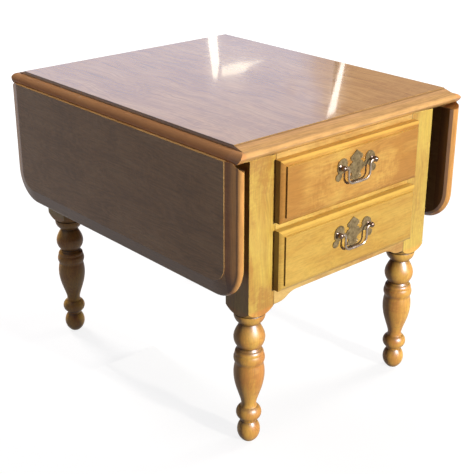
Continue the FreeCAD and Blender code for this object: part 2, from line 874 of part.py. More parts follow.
def pull_holes(drawer, back_y, depth):
    return [rod(p, ALONG_Y * -1, pull_shank_radius + glue_gap, depth) for p in pull_posts_at(drawer, back_y)]


def pull_plate(drawer):
    """Bat-wing plate with a pointed crest, a wing with an ear round each post, and a shield point."""
    height = pull_posts_at(drawer, 0)[0].z
    steps = plate_crest + shifted(plate_wing, pull_boring / 2) + plate_shield
    half = outline_face(steps, lambda x, z: V(x, front_face_y, height + z))
    plate = both_halves(half.extrude(ALONG_Y * -plate_thickness))
    return plate.cut(pull_holes(drawer, front_face_y, plate_thickness))


def pull_posts(drawer):
    """Ball-ended posts whose shanks go through the plate and the front to the nuts inside."""
    inside = plate_thickness + drawer_front_thickness + nut_thickness + shank_past_nut
    ball_low = pull_reach - math.sqrt(pull_ball_radius ** 2 - pull_neck_radius ** 2)
    pin_hole = bail_pin_radius + running_gap
    hole_depth = pull_ball_radius + bail_ball_gap
    posts = []
    for place in pull_posts_at(drawer, pull_face_y):
        post = turned([
            (0, -inside),
            (pull_shank_radius, -inside),
            (pull_shank_radius, 0),
            (pull_base_radius, 0),
            (pull_base_radius, pull_base_thickness / 2),
            (pull_neck_radius, pull_base_thickness),
            (pull_neck_radius, ball_low),
            ((pull_ball_radius, pull_reach), (0, pull_reach + pull_ball_radius)),
        ], place, ALONG_Y * -1)
        inwards = ALONG_X * (-1 if place.x > 0 else 1)
        start = V(place.x, bail_axis_y, place.z) + inwards * (hole_depth - bail_pin_depth - bail_ball_gap)
        posts.append(post.cut(rod(start, inwards, pin_hole, bail_pin_depth + bail_ball_gap)))
    return Part.makeCompound(posts)


def pull_nuts(drawer):
    """Hexagon nuts on the shanks, inside the drawer."""
    nuts = []
    for place in pull_posts_at(drawer, front_back_y):
        ring = [place + V(math.cos(math.radians(60 * k)), 0, math.sin(math.radians(60 * k)))
                * (nut_flats / math.sqrt(3)) for k in range(7)]
        nut = Part.Face(Part.makePolygon(ring)).extrude(ALONG_Y * nut_thickness)
        nuts.append(nut.cut(rod(place, ALONG_Y, pull_shank_radius + running_gap, nut_thickness)))
    return Part.makeCompound(nuts)


def pull_bail(drawer):
    """Hanging handle: a pin into each post's ball, bent shoulders, and a thicker grip at the bottom."""
    height = pull_posts_at(drawer, 0)[0].z
    ball_face = pull_boring / 2 - pull_ball_radius - bail_ball_gap
    leg_x = ball_face - bail_shoulder_bend
    corner_x = leg_x - bail_corner_bend
    corner_z = bail_corner_bend - bail_drop

    def place(x, z):
        return V(x, bail_axis_y, height + z)

    bends = [
        ((ball_face, 0), (leg_x, -bail_shoulder_bend), (ball_face, -bail_shoulder_bend)),
        ((leg_x, corner_z), (corner_x, -bail_drop), (corner_x, corner_z)),
    ]
    edges = []
    here = None
    for start, end, centre in bends:
        if here:
            edges.append(Part.makeLine(place(*here), place(*start)))
        middle = quarter(centre, start, end)[0]
        edges.append(Part.Arc(place(*start), place(*middle), place(*end)).toShape())
        here = end
    edges.append(Part.makeLine(place(*here), place(0, -bail_drop)))
    ring = Part.Wire(Part.makeCircle(bail_wire_radius, place(*bends[0][0]), ALONG_X))
    wire = Part.Wire(edges).makePipeShell([ring], True, True)
    pin = rod(place(ball_face, 0), ALONG_X, bail_pin_radius, bail_pin_depth)
    grip = turned([
        (0, -bail_grip_half_length),
        (bail_grip_end_radius, -bail_grip_half_length),
        ((bail_grip_radius, 0), (bail_grip_end_radius, bail_grip_half_length)),
        (0, bail_grip_half_length),
    ], place(0, -bail_drop), ALONG_X)
    return joined([both_halves(joined([wire, pin])), grip])


# All sub-parts by name

def all_parts():
    shapes = {
        "table_top": table_top(),
        "back_panel": back_panel(),
        "top_front_rail": straight_rail("top_front_rail"),
        "drawer_divider_rail": straight_rail("drawer_divider_rail"),
        "front_apron": front_apron(),
        "top_cleats": top_cleats(),
        "top_screws": screws(top_screw_heads(), UP, top_screw_length),
    }
    for side_name, side in SIDES.items():
        for end_name, end in ENDS.items():
            shapes[f"leg_{end_name}_{side_name}"] = leg(side, end)
        shapes[f"side_panel_{side_name}"] = side_panel(side)
        shapes[f"leaf_{side_name}"] = leaf(side)
        shapes[f"leaf_screws_{side_name}"] = screws(leaf_screw_heads(side), ALONG_X * side, screw_length)
        shapes[f"hinge_top_plates_{side_name}"] = Part.makeCompound(
            [hinge_top_plate(side, y) for y in hinge_places])
        shapes[f"hinge_leaf_plates_{side_name}"] = Part.makeCompound(
            [hinge_leaf_plate(side, y) for y in hinge_places])
        shapes[f"hinge_pins_{side_name}"] = Part.makeCompound([hinge_pin(side, y) for y in hinge_places])
        shapes[f"hinge_top_screws_{side_name}"] = screws(hinge_top_screws(side), UP, screw_length)
        shapes[f"stay_bracket_{side_name}"] = stay_bracket(side)
        shapes[f"stay_bracket_screws_{side_name}"] = screws(
            stay_bracket_screws(side), ALONG_X * -side, screw_length)
        shapes[f"stay_pin_{side_name}"] = stay_pin(side)
        shapes[f"stay_arm_{side_name}"] = stay_arm(side)
        shapes[f"stay_stud_{side_name}"] = stay_stud(side)
        shapes[f"wear_plate_{side_name}"] = wear_plate(side)
    for drawer in DRAWERS:
        shapes[f"{drawer}_drawer_runners"] = drawer_runners(drawer)
        shapes[f"{drawer}_drawer_front"] = drawer_front(drawer)
        shapes[f"{drawer}_drawer_back"] = drawer_back_blank(drawer, 0)
        shapes[f"{drawer}_drawer_bottom"] = drawer_bottom_blank(drawer, 0)
        for side_name, side in SIDES.items():
            shapes[f"{drawer}_drawer_side_{side_name}"] = drawer_side(side, drawer)
        shapes[f"{drawer}_pull_plate"] = pull_plate(drawer)
        shapes[f"{drawer}_pull_posts"] = pull_posts(drawer)
        shapes[f"{drawer}_pull_nuts"] = pull_nuts(drawer)
        shapes[f"{drawer}_pull_bail"] = pull_bail(drawer)
    return shapes


os.makedirs("parts", exist_ok=True)
for name, shape in all_parts().items():
    shape.exportStep(f"parts/{name}.step")
    print(f"{name}: {len(shape.Solids)} solids, {shape.Volume / 1000:.2f} cm3, valid {shape.isValid()}")
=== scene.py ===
import bpy
import math
from mathutils import Matrix, Vector

# Looks of the drop-leaf side table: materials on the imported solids, a pale floor, soft light and the camera.
# Lengths are metres, angles are degrees and colours are linear.

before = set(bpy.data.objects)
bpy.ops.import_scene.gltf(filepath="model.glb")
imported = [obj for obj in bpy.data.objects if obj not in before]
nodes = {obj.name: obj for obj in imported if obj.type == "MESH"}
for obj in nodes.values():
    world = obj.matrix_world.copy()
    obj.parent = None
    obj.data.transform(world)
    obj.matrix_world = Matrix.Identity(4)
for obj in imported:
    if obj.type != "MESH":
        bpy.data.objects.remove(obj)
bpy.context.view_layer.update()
scene = bpy.context.scene

X, Y, Z = range(3)
WHITE = (1, 1, 1)
SIDES = ("left", "right")
DRAWERS = ("upper", "lower")
LEGS = [f"leg_{end}_{side}" for end in ("front", "back") for side in SIDES]

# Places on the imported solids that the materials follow
TABLE_HEIGHT = 0.556
TOP_STEP_Z = (0.5543, 0.5557)
MOULDING_START_Y = 0.2968
ROUND_START_X = 0.2506
LEAF_INSIDE_X = 0.2505
LEAF_MOULDING_Z = 0.331
RAIL_END_X = 0.164
TURNING_START_Z = 0.262
SHARP_ANGLE = 28


# Node helpers

MIX_FACTOR, MIX_FIRST, MIX_SECOND, MIX_RESULT = 0, 6, 7, 2


class Nodes:
    """Short ways to add shader nodes to one tree."""

    def __init__(self, tree):
        self.tree = tree

    def feed(self, socket, value):
        """Join an input to an output, or set its value."""
        if isinstance(value, bpy.types.NodeSocket):
            self.tree.links.new(value, socket)
        elif socket.type == "RGBA":
            socket.default_value = (*value, 1)
        else:
            socket.default_value = value

    def add(self, kind, inputs=None, **settings):
        """A new node with its settings made and its inputs fed."""
        node = self.tree.nodes.new("ShaderNode" + kind)
        for name, value in settings.items():
            setattr(node, name, value)
        for name, value in (inputs or {}).items():
            self.feed(node.inputs[name], value)
        return node

    def place(self):
        """Place in the frame's coordinates, which ride with the piece."""
        return self.add("TexCoord").outputs["Object"]

    def split(self, vector):
        return self.add("SeparateXYZ", {0: vector}).outputs

    def facing(self, axis):
        """How far a face turns to an axis, from -1 to 1."""
        return self.split(self.add("NewGeometry").outputs["Normal"])[axis]

    def calc(self, operation, *values):
        return self.add("Math", dict(enumerate(values)), operation=operation).outputs[0]

    def mapped(self, value, low, high, to_low=0.0, to_high=1.0):
        """A value carried smoothly from one range to another and held at its ends."""
        ranges = {"Value": value, "From Min": low, "From Max": high, "To Min": to_low, "To Max": to_high}
        return self.add("MapRange", ranges, interpolation_type="SMOOTHSTEP").outputs[0]

    def noise(self, vector, scale, detail=3.0, roughness=0.5, distortion=0.0):
        inputs = {"Vector": vector, "Scale": scale, "Detail": detail, "Roughness": roughness,
                  "Distortion": distortion}
        return self.add("TexNoise", inputs).outputs[0]

    def mixed(self, factor, first, second, blend="MIX"):
        """Colour between two colours, or one laid over the other with a blend."""
        inputs = {MIX_FACTOR: factor, MIX_FIRST: first, MIX_SECOND: second}
        return self.add("Mix", inputs, data_type="RGBA", blend_type=blend).outputs[MIX_RESULT]

    def dimmed(self, colour, factor):
        """Colour times a value."""
        grey = self.add("CombineColor", {0: factor, 1: factor, 2: factor}).outputs[0]
        return self.mixed(1.0, colour, grey, "MULTIPLY")

    def ramp(self, factor, *stops):
        """Colour looked up along stops of (place, colour)."""
        node = self.add("ValToRGB", {"Fac": factor})
        elements = node.color_ramp.elements
        while len(elements) < len(stops):
            elements.new(0.5)
        for element, (place, colour) in zip(elements, stops):
            element.position = place
            element.color = (*colour, 1)
        return node.outputs[0]

    def edge_mask(self, radius):
        """1 on arrises and 0 on open faces, and the normal rounded over the arrises."""
        rounded = self.add("Bevel", {"Radius": radius}, samples=6).outputs[0]
        flat = self.add("NewGeometry").outputs["Normal"]
        dot = self.add("VectorMath", {0: rounded, 1: flat}, operation="DOT_PRODUCT").outputs["Value"]
        return self.mapped(dot, 0.995, 0.86), rounded

    def hollow_mask(self, distance, strength=1.0, clear=0.9, full=0.35):
        """The strength deep in a groove or corner of the same piece, and 0 on open faces."""
        hollow = self.add("AmbientOcclusion", {"Distance": distance}, samples=8, only_local=True)
        return self.mapped(hollow.outputs["AO"], clear, full, 0.0, strength)


def new_material(name):
    """A new material, a way to add nodes to it, and the inputs of its principled shader."""
    material = bpy.data.materials.new(name)
    material.use_nodes = True
    tree = material.node_tree
    return material, Nodes(tree), tree.nodes["Principled BSDF"].inputs


def times(colour, factor):
    return tuple(min(1.0, factor * channel) for channel in colour)


# Wood

GRAIN_ORDER = {"x": (X, Y, Z), "y": (Y, X, Z), "z": (Z, X, Y)}
SEED_SHIFTS = (1.73, 0.41, 0.29)
TONE_STOPS = (0.06, 0.46, 0.92)
COAT_IOR = 1.5
SHADED_INSIDE = (0.1, 0.06, 0.05)

# Reach and strength of the painted shade in hollows, and the openness from which it shows and at which it is
# full
GROOVE_SHADE = dict(distance=0.0035, strength=0.7)
FAINT_GROOVE_SHADE = dict(distance=0.0035, strength=0.25)
TURNED_GROOVE_SHADE = dict(distance=0.013, strength=0.9, clear=0.95, full=0.58)


def grain_space(n, grain, seed):
    """Places along the grain and across it twice, moved by a seed so that no two boards match."""
    parts = n.split(n.place())
    return [n.calc("ADD", parts[axis], seed * shift) for axis, shift in zip(GRAIN_ORDER[grain], SEED_SHIFTS)]


def stretched(n, board, stretch):
    """Vector for a texture that runs longer along the grain by a stretch."""
    along, across, through = board
    return n.add("CombineXYZ", {0: n.calc("DIVIDE", along, stretch), 1: across, 2: through}).outputs[0]


def wood_tone(n, board, swayed, cloud, curl, figure):
    """Tone from dark to light: clouds of stain, bands along the grain, curl across it and flames."""
    stain = n.noise(stretched(n, board, 1.9), 15.0, detail=4.0, roughness=0.55, distortion=0.6)
    bands = n.noise(stretched(n, swayed, 9.0), 42.0, detail=5.0, roughness=0.6)
    ripples = n.noise(stretched(n, board, 0.38), 62.0, roughness=0.55, distortion=0.8)
    patches = n.noise(stretched(n, board, 1.0), 11.0, detail=2.0)
    growth = n.noise(stretched(n, board, 4.2), 8.0, roughness=0.45, distortion=0.3)

    curls = n.calc("MULTIPLY", n.mapped(ripples, 0.3, 0.72), n.mapped(patches, 0.42, 0.62))
    flames = n.mapped(n.calc("SINE", n.calc("MULTIPLY", growth, 290.0)), -0.9, 1.0, -0.5, 0.5)
    tone = n.calc("MULTIPLY", n.mapped(stain, 0.28, 0.72), cloud)
    tone = n.calc("MULTIPLY_ADD", n.mapped(bands, 0.3, 0.7), 1.0 - cloud, tone)
    tone = n.calc("MULTIPLY_ADD", curls, -curl, tone)
    return n.calc("MULTIPLY_ADD", flames, figure, tone)


def moulded_rim(n, colour, parts, even, grain, bevel, nose, low=0.0):
    """Colour with those of the bevel and nose laid on the moulded ends and, more faintly, below a height."""
    out = n.calc("ABSOLUTE", parts[Y])
    ends = n.mapped(out, MOULDING_START_Y, MOULDING_START_Y + 0.001)
    low_edge = n.mapped(parts[Z], low, low - 0.001, 0.0, 0.4)
    moulded = n.mixed(n.mapped(out, MOULDING_START_Y + 0.006, MOULDING_START_Y + 0.0165), bevel, nose)
    squeeze = [1.0 if axis == Y else 0.06 for axis in GRAIN_ORDER[grain]]
    lengthways = n.add("VectorMath", {0: even, 1: squeeze}, operation="MULTIPLY").outputs[0]
    threads = n.mapped(n.noise(lengthways, 420.0, roughness=0.6), 0.32, 0.66, 0.8, 1.1)
    share = n.calc("MULTIPLY", n.calc("MAXIMUM", ends, low_edge), 0.8)
    return n.mixed(share, colour, n.dimmed(moulded, threads))


def darker_ends(n, colour, dark, axis, start, full, strength, depth):
    """Colour that darkens as a face turns to the axis, from a start until it is full."""
    turn = n.calc("ABSOLUTE", n.facing(axis))
    return n.mixed(n.mapped(turn, start, full, 0.0, strength), colour, times(dark, depth))


def maple(name, grain, seed, tones, cloud=0.5, curl=0.3, figure=0.1, streaks=(0.88, 1.04), gloss=0.25,
          coat=0.35, coat_rough=0.09, hollow=GROOVE_SHADE, plank=0.0, turned=None, rail_ends=False,
          painted_step_shade=None, dark_ends=0.0, painted_top_light=0.0, end_grain=None, rim=None, long_round=None,
          painted_inside_shade=False):
    """Stained maple under lacquer, with long grain, pores, worn arrises with a painted highlight, and painted
    shade in its hollows.

    Tones are its dark, middle and light colours. Cloud is the share of the clouds of stain beside the bands
    along the grain, curl and figure are the strengths of the curl and of the flames of growth, and streaks
    are the darkest and lightest of the fine lines. Gloss sets how rough the wood is, and coat is the weight
    of its lacquer.

    Some pieces have more: planks of a width, turned tones on the turned length of a leg, dark lines at the
    ends of rails, painted shade on a step between two heights, stain drawn to the dark ends of a drawer front,
    painted light on faces turned up, darker end grain that on the drawer fronts is also painted shade on their
    end faces, a moulded rim and a long round of other colours, where a leaf's rim is painted shade on its
    bevel and painted light on its nose, and painted shade on the inside of a leaf.
    """
    dark, _, light = tones
    material, n, shader = new_material(name)
    along, across, through = board = grain_space(n, grain, seed)
    even = stretched(n, board, 1.0)
    sway = n.calc("MULTIPLY_ADD", n.noise(even, 9.0, detail=2.0), 0.05, -0.025)
    swayed = (along, n.calc("ADD", across, sway), through)
    parts = n.split(n.place())
    aside = n.calc("ABSOLUTE", parts[X])

    # Stain
    tone = wood_tone(n, board, swayed, cloud, curl, figure)
    if dark_ends:
        ragged = n.calc("MULTIPLY_ADD", n.noise(even, 14.0), 0.12, aside)
        tone = n.calc("MULTIPLY_ADD", n.mapped(ragged, 0.11, 0.2), -dark_ends, tone)
    colour = n.ramp(tone, *zip(TONE_STOPS, tones))
    if turned:
        below = n.mapped(parts[Z], TURNING_START_Z + 0.004, TURNING_START_Z - 0.004)
        blotch = n.mapped(n.noise(even, 48.0, roughness=0.6), 0.42, 0.68, 0.0, 0.45)
        turned_colour = n.mixed(blotch, n.ramp(tone, *zip(TONE_STOPS, turned)), turned[0])
        colour = n.mixed(below, colour, turned_colour)
    if plank:
        number = n.calc("FLOOR", n.calc("DIVIDE", across, plank))
        chance = n.add("TexWhiteNoise", {"W": number}, noise_dimensions="1D").outputs["Value"]
        colour = n.mixed(n.mapped(chance, 0, 1, 0.0, 0.22), colour, dark)

    # Fine lines, pores and mottling
    lines = n.noise(stretched(n, swayed, 34.0), 330.0, roughness=0.6)
    colour = n.dimmed(colour, n.mapped(lines, 0.3, 0.62, *streaks))
    pores = n.mapped(n.noise(stretched(n, swayed, 12.0), 900.0, detail=1.0), 0.66, 0.74, 0.0, 0.35)
    colour = n.mixed(pores, colour, times(dark, 0.4))
    mottle = n.mapped(n.noise(stretched(n, board, 1.6), 210.0, roughness=0.6), 0.32, 0.68, 0.0, 0.2)
    colour = n.mixed(mottle, colour, dark)

    # Mouldings
    if rim:
        colour = moulded_rim(n, colour, parts, even, grain, **rim)
    if long_round:
        rounded = n.mapped(aside, ROUND_START_X, ROUND_START_X + 0.001)
        colour = n.mixed(n.calc("MULTIPLY", rounded, 0.7), colour, long_round)
        coat = n.calc("MULTIPLY_ADD", rounded, -0.75 * coat, coat)

    # Wear, painted highlights and painted shade
    edges, soft_normal = n.edge_mask(0.0012)
    # Arrises painted paler, partly as wear and partly as a painted highlight; they are also made rougher.
    worn_and_highlighted_edges = n.calc("MULTIPLY", edges, n.mapped(n.noise(even, 60.0), 0.35, 0.7, 0.15, 0.75))
    colour = n.mixed(worn_and_highlighted_edges, colour, times(light, 1.25))
    # Painted light: faces turned up are painted paler, as if lit from above.
    if painted_top_light:
        colour = n.mixed(n.mapped(n.facing(Z), 0.15, 0.7, 0.0, painted_top_light), colour, times(light, 1.4))
    # Painted shade: darker in the grooves and corners of the same piece. The lines at the ends of rails are
    # dark joints.
    painted_shade_and_joint_lines = n.hollow_mask(**hollow)
    if rail_ends:
        off = n.calc("ABSOLUTE", n.calc("SUBTRACT", aside, RAIL_END_X))
        painted_shade_and_joint_lines = n.calc("MAXIMUM", painted_shade_and_joint_lines, n.mapped(off, 0.0011, 0.0003, 0.0, 0.75))
    # Painted shade: a dark line on the step between the flat of the top and its moulding.
    if painted_step_shade:
        low, high = painted_step_shade
        inside = n.calc("MULTIPLY", n.mapped(parts[Z], low - 0.0004, low),
                        n.mapped(parts[Z], high + 0.0002, high))
        painted_shade_and_joint_lines = n.calc("MAXIMUM", painted_shade_and_joint_lines, n.calc("MULTIPLY", inside, 0.4))
    colour = n.mixed(painted_shade_and_joint_lines, colour, times(dark, 0.22))
    # Painted shade on the inside face of a leaf.
    if painted_inside_shade:
        inner = n.mapped(aside, LEAF_INSIDE_X + 0.0006, LEAF_INSIDE_X + 0.0002, 0.0, 0.8)
        colour = n.mixed(inner, colour, SHADED_INSIDE)
    if end_grain:
        colour = darker_ends(n, colour, dark, GRAIN_ORDER[grain][0], **end_grain)
    n.feed(shader["Base Color"], colour)

    # Lacquer and surface
    rough = n.mapped(n.noise(even, 21.0, detail=4.0), 0.3, 0.7, gloss * 1.15, gloss * 1.9)
    n.feed(shader["Roughness"], n.calc("MULTIPLY_ADD", worn_and_highlighted_edges, 0.12, rough))
    n.feed(shader["Coat Weight"], coat)
    n.feed(shader["Coat Roughness"], coat_rough)
    n.feed(shader["Coat IOR"], COAT_IOR)
    waves = n.calc("MULTIPLY", n.noise(even, 30.0, detail=2.0), 1.4)
    height = n.calc("MULTIPLY_ADD", lines, 0.3, waves)
    bump = n.add("Bump", {"Height": height, "Strength": 0.12, "Distance": 0.0006, "Normal": soft_normal})
    n.feed(shader["Normal"], bump.outputs[0])
    return material


def plain_wood(name, grain, seed):
    """Unfinished pale wood inside the case and the drawers: straight grain and faint saw marks."""
    material, n, shader = new_material(name)
    board = grain_space(n, grain, seed)
    even = stretched(n, board, 1.0)
    bands = n.noise(stretched(n, board, 14.0), 60.0, detail=5.0, roughness=0.6)
    lines = n.noise(stretched(n, board, 40.0), 420.0, detail=2.0)
    colour = n.ramp(bands, (0.28, (0.50, 0.35, 0.2)), (0.5, (0.66, 0.5, 0.31)), (0.75, (0.74, 0.6, 0.41)))
    colour = n.mixed(n.mapped(lines, 0.35, 0.6, 0.25, 0.0), colour, (0.38, 0.25, 0.13))
    # Painted shade: darker in the hollows and corners.
    colour = n.mixed(n.hollow_mask(0.008, 0.6), colour, (0.16, 0.1, 0.05))
    n.feed(shader["Base Color"], colour)
    n.feed(shader["Roughness"], n.mapped(n.noise(even, 30.0), 0.3, 0.7, 0.55, 0.72))
    saw = n.noise(stretched(n, board, 0.2), 160.0, detail=1.0)
    height = n.calc("MULTIPLY_ADD", saw, 0.35, lines)
    bump = n.add("Bump", {"Height": height, "Strength": 0.2, "Distance": 0.0004})
    n.feed(shader["Normal"], bump.outputs[0])
    return material


# Metal

def metal(name, deep, body, bright, rough, brushed, metallic=1.0):
    """Aged metal: dark in its hollows, mottled on its faces and rubbed bright on its arrises."""
    material, n, shader = new_material(name)
    place = n.place()
    mottle = n.noise(place, 190.0, detail=5.0, roughness=0.65, distortion=0.4)
    speck = n.noise(place, 1400.0, detail=2.0)
    colour = n.ramp(mottle, (0.3, deep), (0.5, body), (0.78, bright))
    colour = n.mixed(n.mapped(speck, 0.58, 0.72, 0.0, 0.5), colour, deep)
    edges, soft_normal = n.edge_mask(0.0006)
    colour = n.mixed(n.calc("MULTIPLY", edges, 0.6), colour, bright)
    colour = n.mixed(n.hollow_mask(0.003), colour, times(deep, 0.3))
    n.feed(shader["Base Color"], colour)
    n.feed(shader["Metallic"], metallic)
    n.feed(shader["Roughness"], n.mapped(mottle, 0.3, 0.7, rough * 1.35, rough * 0.8))
    scratches = n.noise(n.add("Mapping", {"Vector": place, "Scale": brushed}).outputs[0], 1.0, detail=2.0)
    height = n.calc("ADD", scratches, n.calc("MULTIPLY", mottle, 0.6))
    bump = n.add("Bump", {"Height": height, "Strength": 0.18, "Distance": 0.0003, "Normal": soft_normal})
    n.feed(shader["Normal"], bump.outputs[0])
    return material


# Which material each piece has

UPPER = ((0.46, 0.22, 0.046), (0.60, 0.335, 0.078), (0.68, 0.445, 0.106))
LOWER = ((0.52, 0.29, 0.055), (0.60, 0.38, 0.08), (0.66, 0.44, 0.10))
POST = ((0.49, 0.26, 0.045), (0.64, 0.435, 0.082), (0.74, 0.56, 0.11))
TURNED = ((0.62, 0.265, 0.055), (0.81, 0.45, 0.085), (0.87, 0.56, 0.12))
TOP = ((0.50, 0.265, 0.085), (0.62, 0.35, 0.115), (0.70, 0.42, 0.15))
LEAF = ((0.49, 0.26, 0.075), (0.645, 0.36, 0.112), (0.76, 0.465, 0.162))
DIVIDER = ((0.5, 0.27, 0.075), (0.68, 0.48, 0.13), (0.79, 0.6, 0.17))
RAIL = ((0.5, 0.27, 0.08), (0.64, 0.425, 0.14), (0.72, 0.5, 0.18))

TOP_RIM = dict(bevel=(0.81, 0.475, 0.215), nose=(0.76, 0.45, 0.18))
# The leaf's rim is painted: shade on its bevel and light on its nose.
LEAF_RIM_SHADE_AND_LIGHT = dict(bevel=(0.3, 0.1, 0.03), nose=(0.8, 0.39, 0.11), low=LEAF_MOULDING_Z)
# On the drawer fronts the darker end grain is also painted shade on their end faces.
FRONT_END_GRAIN_AND_SHADE = dict(start=0.8, full=0.97, strength=0.92, depth=0.25)
LEG_ENDS = dict(start=0.25, full=0.95, strength=0.65, depth=0.5)

LEAVES = dict(grain="y", tones=LEAF, figure=0.24, streaks=(0.8, 1.06), gloss=0.09, coat=0.4, coat_rough=0.06,
              rim=LEAF_RIM_SHADE_AND_LIGHT, painted_inside_shade=True)
FRONTS = dict(grain="x", end_grain=FRONT_END_GRAIN_AND_SHADE, hollow=FAINT_GROOVE_SHADE)
RAILS = dict(grain="x", cloud=0.6, curl=0.2, rail_ends=True)
MAPLE = {
    "top_wood": (dict(grain="y", seed=1.0, tones=TOP, cloud=0.35, curl=0.4, figure=0.22, streaks=(0.76, 1.06),
                      gloss=0.07, coat=0.9, coat_rough=0.035, plank=0.102, painted_step_shade=TOP_STEP_Z, rim=TOP_RIM,
                      long_round=(0.7, 0.33, 0.13)),
                 ["table_top"]),
    "left_leaf_wood": (dict(seed=2.0, **LEAVES), ["leaf_left"]),
    "right_leaf_wood": (dict(seed=3.0, **LEAVES), ["leaf_right"]),
    "upper_front_wood": (dict(seed=4.0, tones=UPPER, cloud=0.6, dark_ends=0.5, painted_top_light=0.75, **FRONTS),
                         ["upper_drawer_front"]),
    "lower_front_wood": (dict(seed=5.0, tones=LOWER, curl=0.15, painted_top_light=0.6, **FRONTS),
                         ["lower_drawer_front"]),
    "rail_wood": (dict(seed=6.0, tones=DIVIDER, **RAILS), ["drawer_divider_rail"]),
    "top_rail_wood": (dict(seed=10.0, tones=RAIL, **RAILS), ["top_front_rail", "front_apron"]),
    "panel_wood": (dict(grain="y", seed=7.0, tones=UPPER, curl=0.4),
                   [f"side_panel_{side}" for side in SIDES]),
    "back_wood": (dict(grain="x", seed=8.0, tones=UPPER, curl=0.4), ["back_panel"]),
    "leg_wood": (dict(grain="z", seed=9.0, tones=POST, turned=TURNED, cloud=0.6, curl=0.4, gloss=0.28,
                      coat=0.8, coat_rough=0.34, hollow=TURNED_GROOVE_SHADE, rail_ends=True, end_grain=LEG_ENDS),
                 LEGS),
}

plate_brass = metal("plate_brass", deep=(0.17, 0.12, 0.06), body=(0.38, 0.29, 0.145),
                    bright=(0.58, 0.46, 0.26), rough=0.42, brushed=(700, 700, 700), metallic=0.55)
ball_brass = metal("ball_brass", deep=(0.11, 0.07, 0.045), body=(0.24, 0.165, 0.11),
                   bright=(0.55, 0.44, 0.34), rough=0.3, brushed=(600, 600, 600), metallic=0.8)
bail_brass = metal("bail_brass", deep=(0.28, 0.21, 0.14), body=(0.58, 0.48, 0.36),
                   bright=(0.9, 0.82, 0.7), rough=0.3, brushed=(600, 600, 600), metallic=0.8)
steel = metal("zinc_plate", deep=(0.3, 0.3, 0.29), body=(0.52, 0.52, 0.5), bright=(0.7, 0.7, 0.67),
              rough=0.36, brushed=(900, 120, 900))
box_across = plain_wood("box_wood_across", "x", 11.0)
box_along = plain_wood("box_wood_along", "y", 12.0)

paint = {"top_screws": steel, "top_cleats": box_along}
for name, (settings, members) in MAPLE.items():
    paint.update(dict.fromkeys(members, maple(name, **settings)))
for side in SIDES:
    for part in ("hinge_top_plates", "hinge_leaf_plates", "hinge_pins", "hinge_top_screws", "leaf_screws",
                 "wear_plate", "stay_bracket", "stay_bracket_screws", "stay_pin", "stay_arm", "stay_stud"):
        paint[f"{part}_{side}"] = steel
for drawer in DRAWERS:
    for part in ("runners", "side_left", "side_right"):
        paint[f"{drawer}_drawer_{part}"] = box_along
    for part in ("back", "bottom"):
        paint[f"{drawer}_drawer_{part}"] = box_across
    paint[f"{drawer}_pull_plate"] = plate_brass
    paint[f"{drawer}_pull_nuts"] = steel
    paint[f"{drawer}_pull_posts"] = ball_brass
    paint[f"{drawer}_pull_bail"] = bail_brass

for name, piece in nodes.items():
    piece.data.materials.clear()
    piece.data.materials.append(paint[name])
    piece.data.polygons.foreach_set("use_smooth", [True] * len(piece.data.polygons))
    piece.data.set_sharp_from_angle(angle=math.radians(SHARP_ANGLE))


# Floor

FLOOR_REACH = 30.0


def flat_mesh(name, corners, material):
    """One flat face between corners, as a new object that belongs to the stage."""
    mesh = bpy.data.meshes.new(name)
    mesh.from_pydata(corners, [], [tuple(range(len(corners)))])
    mesh.materials.append(material)
    piece = bpy.data.objects.new(name, mesh)
    scene.collection.objects.link(piece)
    return piece


def floor_material():
    """Pale floor that shows nearly white to the camera, is dimmer in reflections, and takes the shadow."""
    material, n, shader = new_material("floor")
    place = n.place()
    rays = n.add("LightPath").outputs
    seen = rays["Is Camera Ray"]
    cloud = n.mapped(n.noise(place, 3.0, detail=4.0), 0.3, 0.7)
    pale = n.mixed(cloud, (0.2, 0.2, 0.2), (0.23, 0.23, 0.23))
    n.feed(shader["Base Color"], n.mixed(seen, (0.055, 0.048, 0.07), pale))
    n.feed(shader["Roughness"], 0.9)
    n.feed(shader["Specular IOR Level"], 0.1)
    n.feed(shader["Emission Color"], n.mixed(seen, (1, 0.95, 0.86), WHITE))
    away = n.add("VectorMath", {0: place}, operation="LENGTH").outputs["Value"]
    seen_glow = n.calc("MULTIPLY", seen, n.mapped(away, 0.8, 4.0, 0.84, 1.0))
    n.feed(shader["Emission Strength"], n.calc("MULTIPLY_ADD", rays["Is Glossy Ray"], 0.36, seen_glow))
    return material


floor_corners = [(x * FLOOR_REACH, y * FLOOR_REACH, 0) for x, y in ((-1, -1), (1, -1), (1, 1), (-1, 1))]
flat_mesh("floor", floor_corners, floor_material())


# Cards that give the polished top its sheen and streaks as seen from the camera

EYE = Vector((-1.2158, -1.3838, 1.0303))
MIRRORED_EYE = Vector((EYE.x, EYE.y, 2 * TABLE_HEIGHT - EYE.z))
CARD_Y = 6.0
CARD_STEP = 0.01
DARK_SKY = (0.1, 0.08, 0.09)


def glow_material(name, colour, strength, fades=()):
    """Light of one colour, which goes over to others at fades of (axis, raggedness, start, end, colour)."""
    material = bpy.data.materials.new(name)
    material.use_nodes = True
    n = Nodes(material.node_tree)
    n.tree.nodes.clear()
    if fades:
        place = n.place()
        parts = n.split(place)
        stray = n.calc("SUBTRACT", n.noise(place, 1.6), 0.5)
    for axis, raggedness, start, end, other in fades:
        ragged = n.calc("MULTIPLY_ADD", stray, raggedness, parts[axis])
        colour = n.mixed(n.mapped(ragged, start, end), colour, other)
    glow = n.add("Emission", {"Color": colour, "Strength": strength})
    n.feed(n.add("OutputMaterial").inputs[0], glow.outputs[0])
    return material


def hide(piece, *rays):
    for kind in rays:
        setattr(piece, f"visible_{kind}", False)


def reflection_card(name, corners, **light):
    """Softbox that only shows as a reflection."""
    hide(flat_mesh(name, corners, glow_material(name, **light)), "camera", "diffuse", "shadow")


